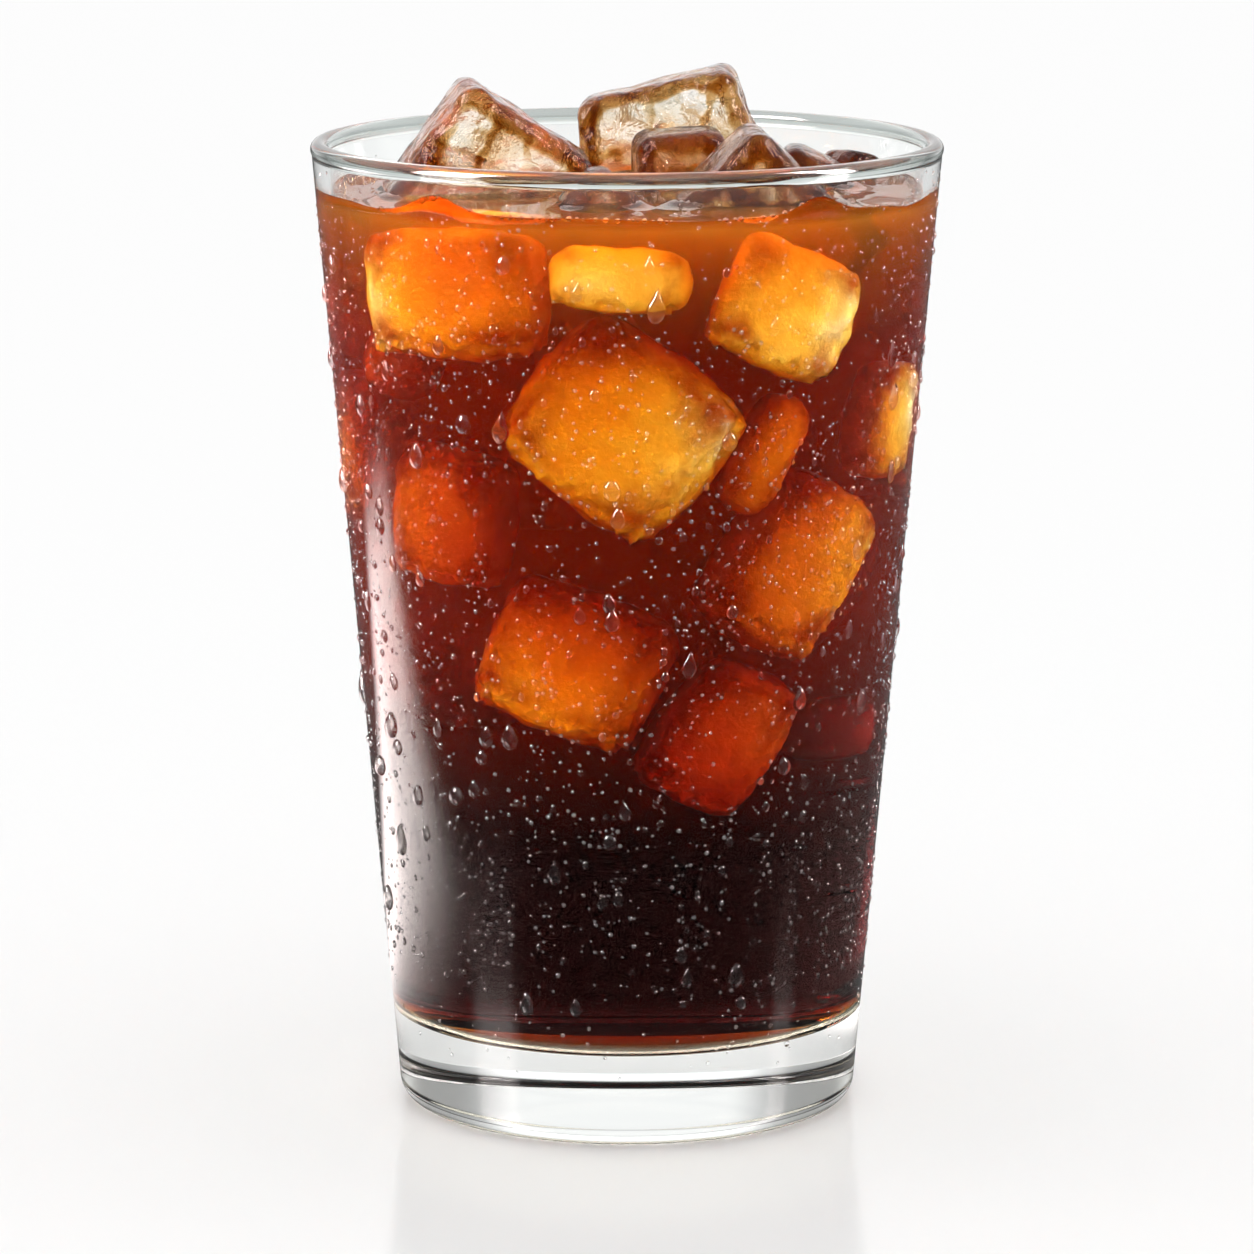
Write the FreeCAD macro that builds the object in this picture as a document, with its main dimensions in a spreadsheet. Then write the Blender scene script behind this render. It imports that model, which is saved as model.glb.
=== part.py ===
import FreeCAD, Part
import math
import os

import Sketcher
from FreeCAD import Placement, Rotation, Vector

# Iced coffee in its glass. Millimetres, +Z up; the origin is on the table, under the glass's axis.
doc = FreeCAD.newDocument("IcedCoffee")

# ---------------------------------------------------------------- sizes
sizes = [
    ("glass_height", 136.3, "table to the top of the rim"),
    ("rim_radius", 44.0, "widest point of the rim bead"),
    ("bead_radius", 1.25, "roundness of the rim bead"),
    ("foot_radius", 32.05, "outer wall, carried down to the table"),
    ("foot_round", 3.0, "rounding between wall and foot"),
    ("foot_ring", 4.5, "width of the ring that touches the table, up to the rounding"),
    ("punt_depth", 1.2, "hollow under the base"),
    ("punt_slope", 3.5, "width of the slope that leads into the hollow"),
    ("base_thickness", 12.5, "solid glass under the drink"),
    ("wall_top", 2.1, "wall just under the bead"),
    ("wall_bottom", 3.0, "wall beside the inner floor"),
    ("floor_round", 5.0, "rounding between inner wall and floor"),
    ("headroom", 7.1, "surface of the coffee below the rim"),
    ("coffee_gap", 0.05, "coffee to glass"),
    ("meniscus_rise", 0.9, "climb of the coffee at the wall"),
    ("meniscus_width", 1.8, "how far from the wall the climb starts"),
    ("ice_gap", 0.1, "ice to coffee"),
    ("melt_round", 2.6, "rounding of the melted edges"),
    ("pile_radius", 39.5, "circle that the ice pile was laid out for"),
    ("pile_depth", 12.0, "depth at which the pile comes nearest to the wall"),
    ("pile_clearance", 0.6, "ice pile to inner wall"),
]

# The blocks that rise out of the coffee. Each is a tapered block with rounded edges.
# width, depth, height of the base's box; taper is what the top loses in width and depth;
# place is its centre, from the point where the axis meets the surface; turn is yaw, pitch, roll.
ice_blocks = {
    "ice_left": {"width": 23.4, "depth": 19.0, "height": 22.0, "taper": 0.9,
                 "place": (-19.4, -3.0, 1.2), "turn": (6, 34, 0)},
    "ice_back": {"width": 28.0, "depth": 18.6, "height": 23.0, "taper": 5.0,
                 "place": (6.4, 22.0, 1.9), "turn": (-4, -13, 0)},
    "ice_middle": {"width": 15.4, "depth": 13.6, "height": 19.0, "taper": 2.4,
                   "place": (7.8, 4.3, -1.3), "turn": (6, -3, 0)},
    "ice_front": {"width": 22.6, "depth": 17.0, "height": 22.6, "taper": 0.8,
                  "place": (17.2, -13.0, -4.6), "turn": (4, 45, 0)},
    "ice_wedge": {"width": 13.0, "depth": 12.4, "height": 14.0, "taper": 1.2,
                  "place": (24.4, 5.2, -2.0), "turn": (0, 30, 0)},
    "ice_right": {"width": 8.6, "depth": 11.6, "height": 11.4, "taper": 1.4,
                  "place": (31.3, 16.5, -2.0), "turn": (29, 9, 0)},
    "ice_chip": {"width": 9.6, "depth": 9.5, "height": 9.6, "taper": 0.8,
                 "place": (-3.8, -19.2, -0.1), "turn": (10, 42, 0)},
}

sheet = doc.addObject("Spreadsheet::Sheet", "Sizes")
cells = list(sizes)
for name, block in ice_blocks.items():
    cells += [(name + "_" + side, block[side], side + " of " + name)
              for side in ("width", "depth", "height", "taper")]
    cells += [(name + "_" + axis, value, "place of " + name)
              for axis, value in zip("xyz", block["place"])]
for row, (alias, value, note) in enumerate(cells, start=1):
    sheet.set("A%d" % row, note)
    sheet.set("B%d" % row, str(value))
    sheet.setAlias("B%d" % row, alias)
doc.recompute()

# Expressions that several pieces share.
bead_x = "(Sizes.rim_radius - Sizes.bead_radius)"
bead_z = "(Sizes.glass_height - Sizes.bead_radius)"
neck_z = "(%s - sqrt(Sizes.bead_radius ^ 2 - (Sizes.wall_top / 2) ^ 2))" % bead_z
neck_inner = "(%s - Sizes.wall_top / 2)" % bead_x
neck_outer = "(%s + Sizes.wall_top / 2)" % bead_x
floor_inner = ("(Sizes.foot_radius - Sizes.wall_bottom + (%s - Sizes.foot_radius)"
               " * Sizes.base_thickness / %s)" % (neck_outer, neck_z))
inner_slope = "((%s - %s) / (%s - Sizes.base_thickness))" % (neck_inner, floor_inner, neck_z)
level = "(Sizes.glass_height - Sizes.headroom)"


def inner_radius(height):
    """Expression for the radius of the inner wall at a height."""
    return "(%s + %s * (%s - Sizes.base_thickness))" % (floor_inner, inner_slope, height)


room = "(%s - Sizes.pile_clearance)" % inner_radius("(%s - Sizes.pile_depth)" % level)
ice_scale = "(%s / Sizes.pile_radius)" % room


def value_of(expression):
    """The number that an expression gives with the sheet as it stands."""
    return float(sheet.evalExpression(expression))


# ---------------------------------------------------------------- helpers
def origin_plane(body, role):
    for feature in body.Origin.OriginFeatures:
        if feature.Role == role:
            return feature
    raise ValueError("no plane " + role)


def new_body(label):
    body = doc.addObject("PartDesign::Body", label)
    body.Label = label
    return body


def new_sketch(body, name, role):
    sketch = body.newObject("Sketcher::SketchObject", name)
    sketch.AttachmentSupport = [(origin_plane(body, role), "")]
    sketch.MapMode = "FlatFace"
    return sketch


def fix_point(sketch, geometry, point, x, y):
    """Ties one point of a sketch to an expression on each axis; a zero ties it to the axis."""
    for kind, axis, expression in (("DistanceX", -2, x), ("DistanceY", -1, y)):
        if expression == "0":
            sketch.addConstraint(Sketcher.Constraint("PointOnObject", geometry, point, axis))
            continue
        number = value_of(expression)
        row = sketch.addConstraint(Sketcher.Constraint(kind, -1, 1, geometry, point, number))
        sketch.setExpression("Constraints[%d]" % row, expression)


def draw_outline(sketch, corners):
    """Closed outline through corners, each a pair of expressions; a corner given as a dict is
    an arc about its centre, from its start to its end, counter-clockwise."""
    def at(pair):
        return Vector(*[0.0 if text == "0" else value_of(text) for text in pair])

    first_end = []
    for corner in corners:
        if isinstance(corner, dict):
            centre, start, end = (at(corner[key]) for key in ("centre", "start", "end"))
            radius = value_of(corner["radius"])
            angles = [math.atan2(p.y - centre.y, p.x - centre.x) for p in (start, end)]
            circle = Part.Circle(centre, Vector(0, 0, 1), radius)
            arc = sketch.addGeometry(Part.ArcOfCircle(circle, *angles))
            fix_point(sketch, arc, 3, *corner["centre"])
            row = sketch.addConstraint(Sketcher.Constraint("Radius", arc, radius))
            sketch.setExpression("Constraints[%d]" % row, corner["radius"])
            for point, key in ((1, "start"), (2, "end")):
                x_row = sketch.addConstraint(
                    Sketcher.Constraint("DistanceX", -1, 1, arc, point, at(corner[key]).x))
                sketch.setExpression("Constraints[%d]" % x_row, corner[key][0])
            first_end.append(((arc, 1), start, (arc, 2), end, None))
        else:
            spot = at(corner)
            first_end.append((None, spot, None, spot, corner))
    for here, following in zip(first_end, first_end[1:] + first_end[:1]):
        line = sketch.addGeometry(Part.LineSegment(here[3], following[1]))
        if here[2]:
            sketch.addConstraint(Sketcher.Constraint("Coincident", line, 1, *here[2]))
        else:
            fix_point(sketch, line, 1, *here[4])
        if following[0]:
            sketch.addConstraint(Sketcher.Constraint("Coincident", line, 2, *following[0]))
        else:
            fix_point(sketch, line, 2, *following[4])


def revolve(body, name, sketch):
    turned = body.newObject("PartDesign::Revolution", name)
    turned.Profile = sketch
    turned.ReferenceAxis = (sketch, ["V_Axis"])
    turned.Angle = 360
    return turned


def ring_edges(shape, radius, height):
    """Names of the circular edges at a radius and a height."""
    names = []
    for number, edge in enumerate(shape.Edges, start=1):
        if isinstance(edge.Curve, Part.Circle):
            same_height = abs(edge.Curve.Center.z - height) < 1e-4
            if same_height and abs(edge.Curve.Radius - radius) < 1e-4:
                names.append("Edge%d" % number)
    return names


def round_edges(body, name, base, edges, expression):
    fillet = body.newObject("PartDesign::Fillet", name)
    fillet.Base = (base, edges)
    fillet.Radius = value_of(expression)
    fillet.setExpression("Radius", expression)
    doc.recompute()
    return fillet


# ---------------------------------------------------------------- glass
def make_glass():
    """Tapered tumbler: thin wall, rim bead, thick clear base with a shallow hollow under it."""
    body = new_body("glass")
    sketch = new_sketch(body, "glass_outline", "XZ_Plane")
    ring_inner = "(Sizes.foot_radius - Sizes.foot_round - Sizes.foot_ring)"
    draw_outline(sketch, [
        ("0", "Sizes.punt_depth"),
        (ring_inner + " - Sizes.punt_slope", "Sizes.punt_depth"),
        (ring_inner, "0"),
        ("Sizes.foot_radius", "0"),
        {"centre": (bead_x, bead_z), "radius": "Sizes.bead_radius",
         "start": (neck_outer, neck_z), "end": (neck_inner, neck_z)},
        (floor_inner, "Sizes.base_thickness"),
        ("0", "Sizes.base_thickness"),
    ])
    turned = revolve(body, "glass_turned", sketch)
    doc.recompute()
    foot = ring_edges(turned.Shape, value_of("Sizes.foot_radius"), 0)
    footed = round_edges(body, "foot_rounding", turned, foot, "Sizes.foot_round")
    corner = ring_edges(footed.Shape, value_of(floor_inner), value_of("Sizes.base_thickness"))
    round_edges(body, "floor_rounding", footed, corner, "Sizes.floor_round")
    return body


# ---------------------------------------------------------------- ice
def make_block(label, block, gap="0"):
    """Tapered block with melted edges; a gap makes the hollow that it sits in."""
    def side(name):
        return "(Sizes.%s_%s * %s)" % (label, name, ice_scale)

    prefix = label if gap == "0" else label.replace("ice_", "socket_")
    body = new_body(prefix)
    height = "(%s + 2 * %s)" % (side("height"), gap)
    sketch = new_sketch(body, prefix + "_base", "XY_Plane")
    sketch.setExpression("AttachmentOffset.Base.z", "-%s / 2" % height)
    half = {name: "(%s / 2 + %s)" % (side(name), gap) for name in ("width", "depth")}
    draw_outline(sketch, [("%d * %s" % (a, half["width"]), "%d * %s" % (b, half["depth"]))
                          for a, b in ((-1, -1), (1, -1), (1, 1), (-1, 1))])
    pad = body.newObject("PartDesign::Pad", prefix + "_block")
    pad.Profile = sketch
    pad.setExpression("Length", height)
    pad.setExpression("TaperAngle", "-atan(%s / 2 / %s)" % (side("taper"), side("height")))
    doc.recompute()
    edges = ["Edge%d" % (i + 1) for i in range(len(pad.Shape.Edges))]
    round_edges(body, prefix + "_melt", pad, edges,
                "(Sizes.melt_round * %s + %s)" % (ice_scale, gap))
    body.Placement = Placement(Vector(), Rotation(*block["turn"]))
    for axis in "xyz":
        lift = " + " + level if axis == "z" else ""
        body.setExpression("Placement.Base." + axis,
                           "Sizes.%s_%s * %s%s" % (label, axis, ice_scale, lift))
    return body


# ---------------------------------------------------------------- coffee
def make_coffee(sockets):
    """Everything inside the glass up to the surface, less the blocks that rise out of it."""
    body = new_body("coffee_fill")
    sketch = new_sketch(body, "coffee_outline", "XZ_Plane")
    climb = "(%s + Sizes.meniscus_rise)" % level
    bottom = "(Sizes.base_thickness + Sizes.coffee_gap)"
    draw_outline(sketch, [
        ("0", bottom),
        (inner_radius(bottom) + " - Sizes.coffee_gap", bottom),
        (inner_radius(climb) + " - Sizes.coffee_gap", climb),
        (inner_radius(level) + " - Sizes.coffee_gap - Sizes.meniscus_width * 0.4",
         "(%s + Sizes.meniscus_rise * 0.25)" % level),
        (inner_radius(level) + " - Sizes.coffee_gap - Sizes.meniscus_width", level),
        ("0", level),
    ])
    turned = revolve(body, "coffee_turned", sketch)
    doc.recompute()
    radius = value_of(inner_radius(bottom) + " - Sizes.coffee_gap")
    corner = ring_edges(turned.Shape, radius, value_of(bottom))
    round_edges(body, "coffee_rounding", turned, corner, "Sizes.floor_round")

    hollows = doc.addObject("Part::Compound", "hollows")
    hollows.Links = sockets
    coffee = doc.addObject("Part::Cut", "coffee")
    coffee.Base = body
    coffee.Tool = hollows
    coffee.Label = "coffee"
    return coffee


# ---------------------------------------------------------------- build
pieces = [make_glass()]
pieces += [make_block(label, block) for label, block in ice_blocks.items()]
sockets = [make_block(label, block, "Sizes.ice_gap") for label, block in ice_blocks.items()]
pieces.append(make_coffee(sockets))
doc.recompute()

for item in doc.Objects:
    if "Invalid" in item.State or "Error" in item.State:
        raise RuntimeError("%s did not build: %s" % (item.Label, item.State))
for piece in pieces:
    if piece.Shape.isNull() or not piece.Shape.isValid() or len(piece.Shape.Solids) != 1:
        raise RuntimeError("%s is not one sound solid" % piece.Label)

os.makedirs("parts", exist_ok=True)
for piece in pieces:
    piece.Shape.exportStep("parts/%s.step" % piece.Label)
    box = piece.Shape.BoundBox
    print("%-12s %8.0f mm3  z %6.1f to %6.1f" % (piece.Label, piece.Shape.Volume, box.ZMin, box.ZMax))
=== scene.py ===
import math
import random

import bmesh
import bpy
from mathutils import Euler, Matrix, Vector, noise
from mathutils.bvhtree import BVHTree


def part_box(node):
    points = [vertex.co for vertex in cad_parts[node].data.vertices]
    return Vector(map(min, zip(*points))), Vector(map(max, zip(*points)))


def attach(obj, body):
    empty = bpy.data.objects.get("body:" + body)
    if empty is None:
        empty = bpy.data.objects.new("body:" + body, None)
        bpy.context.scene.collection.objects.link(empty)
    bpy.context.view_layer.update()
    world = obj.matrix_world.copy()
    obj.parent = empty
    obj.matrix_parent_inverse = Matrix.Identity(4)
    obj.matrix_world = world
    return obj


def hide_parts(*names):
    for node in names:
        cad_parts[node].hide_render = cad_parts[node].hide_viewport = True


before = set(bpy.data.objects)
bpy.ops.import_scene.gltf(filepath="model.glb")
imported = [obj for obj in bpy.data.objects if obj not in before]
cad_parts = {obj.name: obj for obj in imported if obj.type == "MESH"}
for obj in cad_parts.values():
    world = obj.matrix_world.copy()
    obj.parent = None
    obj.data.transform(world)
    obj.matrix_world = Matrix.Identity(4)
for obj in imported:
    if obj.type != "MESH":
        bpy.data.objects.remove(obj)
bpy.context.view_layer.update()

# Iced coffee in a tapered tumbler. Metres, +Z up; the glass stands on z = 0 and turns about Z.
mm = 0.001
scene = bpy.context.scene


def toLinear(hexColour):
    channels = [int(hexColour[i:i + 2], 16) / 255 for i in (1, 3, 5)]
    return [c / 12.92 if c <= 0.04045 else ((c + 0.055) / 1.055) ** 2.4 for c in channels] + [1.0]


def addNode(tree, kind, values=None, links=None, **settings):
    node = tree.nodes.new(kind)
    for name, value in settings.items():
        setattr(node, name, value)
    for name, value in (values or {}).items():
        node.inputs[name].default_value = value
    for name, socket in (links or {}).items():
        tree.links.new(socket, node.inputs[name])
    return node


def combine(tree, operation, *values):
    # arithmetic on numbers and sockets
    node = addNode(tree, "ShaderNodeMath", operation=operation)
    for place, value in enumerate(values):
        if isinstance(value, bpy.types.NodeSocket):
            tree.links.new(value, node.inputs[place])
        else:
            node.inputs[place].default_value = value
    return node.outputs["Value"]


def fade(tree, value, start, end, low=0.0, high=1.0, smooth=False):
    # low where the value is at start, high where it is at end
    limits = {"From Min": start, "From Max": end, "To Min": low, "To Max": high}
    node = addNode(tree, "ShaderNodeMapRange", limits, {"Value": value},
                   interpolation_type="SMOOTHSTEP" if smooth else "LINEAR")
    return node.outputs["Result"]


def blend(tree, share, first, second):
    # from the first colour to the second as the share grows
    node = addNode(tree, "ShaderNodeMix", {"A": toLinear(first), "B": toLinear(second)}, {"Factor": share},
                   data_type="RGBA")
    return node.outputs["Result"]


def choose(tree, share, first, second):
    # the same for two numbers or sockets
    node = addNode(tree, "ShaderNodeMix")
    for name, value in (("Factor", share), ("A", first), ("B", second)):
        if isinstance(value, bpy.types.NodeSocket):
            tree.links.new(value, node.inputs[name])
        else:
            node.inputs[name].default_value = value
    return node.outputs["Result"]


def grain(tree, place, size, detail, roughness=0.5):
    # a noise with lumps of about this many millimetres
    look = {"Scale": 1 / (size * mm), "Detail": detail, "Roughness": roughness}
    return addNode(tree, "ShaderNodeTexNoise", look, {"Vector": place}).outputs


def relief(tree, height, strength, depth):
    # a bump of at most this many millimetres
    return addNode(tree, "ShaderNodeBump", {"Strength": strength, "Distance": depth * mm},
                   {"Height": height}).outputs["Normal"]


def whereOn(tree):
    # the place on the object, and its height
    place = addNode(tree, "ShaderNodeTexCoord").outputs["Object"]
    return place, addNode(tree, "ShaderNodeSeparateXYZ", links={"Vector": place}).outputs["Z"]


def newMaterial(name):
    material = bpy.data.materials.new(name)
    material.use_nodes = True
    material.node_tree.nodes.clear()
    return material, material.node_tree


def newPiece(name, bm, material, replaced=()):
    mesh = bpy.data.meshes.new(name)
    bm.to_mesh(mesh)
    bm.free()
    return pieceFromMesh(name, mesh, material, replaced)


def pieceFromMesh(name, mesh, material, replaced=()):
    piece = bpy.data.objects.new(name, mesh)
    scene.collection.objects.link(piece)
    mesh.materials.clear()
    mesh.materials.append(material)
    mesh.shade_smooth()
    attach(piece, "root")
    for node in replaced:
        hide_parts(node)
    print(name, len(mesh.polygons), "faces")
    return piece


def roundCorner(before, corner, after, radius, steps=8):
    # points of an arc that rounds the corner between two straight runs, all as (radius, height)
    a, c, b = Vector(before), Vector(corner), Vector(after)
    toA, toB = (a - c).normalized(), (b - c).normalized()
    half = math.acos(max(-1, min(1, toA.dot(toB)))) / 2
    centre = c + (toA + toB).normalized() * radius / math.sin(half)
    start, end = c + toA * radius / math.tan(half), c + toB * radius / math.tan(half)
    first = (start - centre).angle_signed(end - centre)
    arc = []
    for i in range(steps + 1):
        turned = (start - centre).copy()
        turned.rotate(Matrix.Rotation(-first * i / steps, 2))
        arc.append(tuple(centre + turned))
    return arc


def spinOutline(points, turns):
    # a lathe: the outline, as (radius, height) in millimetres, turned about the Z axis
    bm = bmesh.new()
    verts = [bm.verts.new((r * mm, 0, z * mm)) for r, z in points]
    edges = [bm.edges.new(pair) for pair in zip(verts, verts[1:])]
    bmesh.ops.spin(bm, geom=verts + edges, cent=(0, 0, 0), axis=(0, 0, 1), dvec=(0, 0, 0),
                   angle=2 * math.pi, steps=turns, use_merge=True, use_duplicate=False)
    bmesh.ops.remove_doubles(bm, verts=bm.verts, dist=0.002 * mm)
    bmesh.ops.recalc_face_normals(bm, faces=bm.faces)
    return bm


def scatter(name, placed, material):
    # one piece from many copies of small meshes, each with the matrix that places it
    whole = bmesh.new()
    for template, place in placed:
        one = template.copy()
        one.transform(place)
        whole.from_mesh(one)
        bpy.data.meshes.remove(one)
    return newPiece(name, whole, material)


tumbler = {  # millimetres, radii where round
    "rim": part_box("glass")[1][0] / mm, "height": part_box("glass")[1][2] / mm,
    "bead": 1.25, "wallTop": 2.1, "wallBottom": 3.0, "floor": 12.5, "floorRound": 5.0,
    "foot": 32.05, "footRound": 3.0, "ring": 4.5, "ringRound": 2.0,  # the ring it stands on
    "punt": 1.2, "puntSlope": 3.5, "puntRound": 3.0,  # the hollow underneath
    "turns": 240, "wallRows": 60, "beadRows": 24, "flatRings": (0, 8, 16),
}
# The rounded edge of the drink: how high it climbs the wall, how far out it starts, its lap into the glass.
meniscus = {"rise": 0.9, "reach": 1.7, "intoWall": 0.1}
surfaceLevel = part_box("coffee")[1][2] / mm - meniscus["rise"]
beadX = tumbler["rim"] - tumbler["bead"]
beadZ = tumbler["height"] - tumbler["bead"]
neckDrop = math.sqrt(tumbler["bead"] ** 2 - (tumbler["wallTop"] / 2) ** 2)
neckZ = beadZ - neckDrop


def outerWall(z):
    return tumbler["foot"] + (beadX + tumbler["wallTop"] / 2 - tumbler["foot"]) * z / neckZ


def innerWall(z):
    bottom = outerWall(tumbler["floor"]) - tumbler["wallBottom"]
    share = (z - tumbler["floor"]) / (neckZ - tumbler["floor"])
    return bottom + (beadX - tumbler["wallTop"] / 2 - bottom) * share


def tumblerOutline():
    # from the middle of the underside out, up the outside, over the rim and down to the middle of the floor
    t = tumbler
    ringEdge = t["foot"] - t["footRound"] - t["ring"]
    slopeEdge = ringEdge - t["puntSlope"]
    rows = range(t["wallRows"] + 1)
    points = [(r, t["punt"]) for r in t["flatRings"]]
    points += roundCorner((0, t["punt"]), (slopeEdge, t["punt"]), (ringEdge, 0), t["puntRound"])
    points += roundCorner((slopeEdge, t["punt"]), (ringEdge, 0), (t["foot"], 0), t["ringRound"])
    points += roundCorner((ringEdge, 0), (t["foot"], 0), (outerWall(20), 20), t["footRound"], 12)
    points += [(outerWall(z), z) for z in [4.5 + (neckZ - 5) * i / t["wallRows"] for i in rows]]
    low = math.asin(neckDrop / t["bead"])
    for i in range(t["beadRows"] + 1):
        angle = -low + (math.pi + 2 * low) * i / t["beadRows"]
        points.append((beadX + t["bead"] * math.cos(angle), beadZ + t["bead"] * math.sin(angle)))
    points += [(innerWall(z), z) for z in [neckZ - 0.5 - (neckZ - 20) * i / t["wallRows"] for i in rows]]
    points += roundCorner((innerWall(30), 30), (innerWall(t["floor"]), t["floor"]), (0, t["floor"]),
                          t["floorRound"], 14)
    points += [(r, t["floor"]) for r in reversed(t["flatRings"])]
    return points


def copyNodes(names):
    # a merged copy of some frame nodes, with their loose triangles joined up
    bm = bmesh.new()
    for name in names:
        bm.from_mesh(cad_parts[name].data)
    bmesh.ops.remove_doubles(bm, verts=bm.verts, dist=0.005 * mm)
    return bm


def emergingIce():
    # the blocks that rise out of the drink, as a tree to measure from
    return BVHTree.FromBMesh(copyNodes([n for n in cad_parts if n.startswith("ice_")]))


def evenMesh(bm, voxel):
    # the same shape in even small faces
    mesh = bpy.data.meshes.new("rough")
    bm.to_mesh(mesh)
    bm.free()
    rough = bpy.data.objects.new("rough", mesh)
    scene.collection.objects.link(rough)
    remesh = rough.modifiers.new("remesh", "REMESH")
    remesh.mode = "VOXEL"
    remesh.voxel_size = voxel * mm
    even = bpy.data.meshes.new_from_object(rough.evaluated_get(bpy.context.evaluated_depsgraph_get()))
    bpy.data.objects.remove(rough)
    bpy.data.meshes.remove(mesh)
    fine = bmesh.new()
    fine.from_mesh(even)
    bpy.data.meshes.remove(even)
    return fine


iceLook = {  # millimetres
    "voxel": 0.62,
    "thaw": 0.2,  # how much has melted off all over
    "lumps": [(9.0, 0.5), (3.4, 0.28), (1.6, 0.09)],  # size of the lumps, how far they swell
    "sunkInto": 0.05,  # how far the ice is larger than the hollow it lies in
    "edgeBend": 0.006, "edgeRounds": 5,  # how much bend counts as an edge, how far the painted edge shade spreads
}


def meltSurface(bm, seed):
    # lumps and hollows of three sizes, different for every seed
    offset = Vector((seed * 3.7, seed * 1.9, -seed * 2.3))
    bm.normal_update()
    moves = []
    for vert in bm.verts:
        swell = sum(noise.noise((vert.co / mm + offset * 5) / size) * depth
                    for size, depth in iceLook["lumps"])
        moves.append(vert.normal * (swell - iceLook["thaw"]) * mm)
    for vert, move in zip(bm.verts, moves):
        vert.co += move
    bmesh.ops.smooth_vert(bm, verts=bm.verts, factor=0.3, use_axis_x=True, use_axis_y=True, use_axis_z=True)


def blockShape(size, spot):
    # a block with melted edges, before its surface gets its lumps
    bm = bmesh.new()
    bmesh.ops.create_cube(bm, size=1)
    bmesh.ops.scale(bm, vec=[s * mm for s in size], verts=bm.verts)
    bmesh.ops.bevel(bm, geom=bm.edges[:], offset=sunkLook["melt"] * mm, affect="EDGES", segments=4,
                    profile=0.5, material=-1)
    bmesh.ops.transform(bm, matrix=spot, verts=bm.verts)
    return bm


def shrunkCopy(bm, distance):
    # the same surface moved inwards, for the hollow in the coffee
    inner = bm.copy()
    inner.normal_update()
    for vert in inner.verts:
        vert.co -= vert.normal * distance * mm
    return inner


# Blocks under the surface: size, x and z of the centre, turn (yaw, pitch, roll) and the gap to the wall.
sunkIce = {
    "centre": ((26, 11, 24), (-0.6, 100.8), (-6, 38, 0), 0.5),
    "upperLeft": ((27, 9, 18), (-21.5, 118.4), (-33, -3, 0), 0.4),
    "upperRight": ((20, 6.5, 17), (20.3, 116.6), (30, 25, 0), 0.45),
    "rightMiddle": ((18, 12, 24), (19.8, 80.5), (34, 35, 0), 1.7),
    "lowerLeft": ((22, 13, 20), (-6.5, 67.5), (-12, 22, -12), 2.5),
    "leftMiddle": ((19, 12, 23), (-21.0, 87.0), (-36, 8, 6), 1.1),
    "lowest": ((15, 12, 20), (11.0, 56.5), (16, 30, 10), 4.8),
    "slab": ((8, 9, 18), (16.8, 96.5), (26, 26, 0), 3.0),
    "rightWall": ((12, 10, 16), (31.0, 99.0), (60, 8, 8), 1.4),
    "behindLine": ((18, 6.5, 9), (-1.0, 121.6), (0, 4, 0), 1.4),
}
# Millimetres: how round its edges have melted, the share by which it has puffed towards a ball, the depth of
# its pits and waves, and how fine its faces are near the wall and deeper in.
sunkLook = {"melt": 2.4, "puff": 0.3, "pits": 0.7, "waves": 0.45, "voxel": 0.8, "deepVoxel": 1.3}
# Blocks round the back: their heights, and from where to where and how often, in degrees from the front.
backRow = {"heights": (115, 94, 74), "from": 102, "shift": 8, "to": 258, "every": 36}
# Deeper blocks: heights, degrees between them, scale and how far in from the wall.
deepRows = [((113, 96, 79, 63), 24, 1.0, 19), (range(122, 54, -8), 18, 0.6, 12), ((112, 94, 76), 36, 0.8, 26)]
plainPart = {"below": 85, "from": 165, "to": 255}  # plain coffee low down on the left


def blockSpot(place, turn):
    yaw, pitch, roll = (math.radians(a) for a in turn)
    return Matrix.Translation(Vector(place) * mm) @ Euler((roll, pitch, yaw), "XYZ").to_matrix().to_4x4()


def nearWall(size, x, z, turn, gap):
    # where a worn block lies when its nearest point is this far from the wall, in front of the axis
    y = -20.0
    for tries in range(4):
        spot = blockSpot((x, y, z), turn)
        bm = evenMesh(blockShape(size, spot), 1.8)
        wearBlock(bm, spot, size)
        y += max(math.hypot(v.co.x, v.co.y) / mm - innerWall(v.co.z / mm) for v in bm.verts) + gap
        bm.free()
    return blockSpot((x, y, z), turn)


def wearBlock(bm, spot, size):
    # long in the drink: faces puffed, corners drawn in, the lower edges pitted
    half = Vector(size) * mm / 2
    back = spot.inverted()
    milky = bm.verts.layers.float.new("milky")
    for vert in bm.verts:
        local = back @ vert.co
        share = Vector([c / h for c, h in zip(local, half)])  # 1 at each face, 1.41 along an edge
        edge = sorted(abs(c) for c in share)[1]
        middle = min(1, max(0, (1.42 - share.length) / 0.42))
        share *= 1 + sunkLook["puff"] * (1.14 / max(share.length, 0.01) - 1)
        vert.co = spot @ Vector([c * h for c, h in zip(share, half)])
        low = min(1, max(0, 0.35 - vert.normal.z))
        pitted = min(1, max(0, (edge - 0.62) / 0.25)) * low
        grain = noise.noise(vert.co / mm / 1.5) + 0.7 * noise.noise(vert.co / mm / 0.8)
        waves = noise.noise(vert.co / mm / 2.8) * sunkLook["waves"]
        vert.co += vert.normal * (waves + (grain - 0.25) * pitted * sunkLook["pits"] * 2) * mm
        # the milky share also sets the cloudy ice's painted shade, red-brown where it is low
        vert[milky] = middle + 0.55 * pitted
    bm.normal_update()


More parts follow.
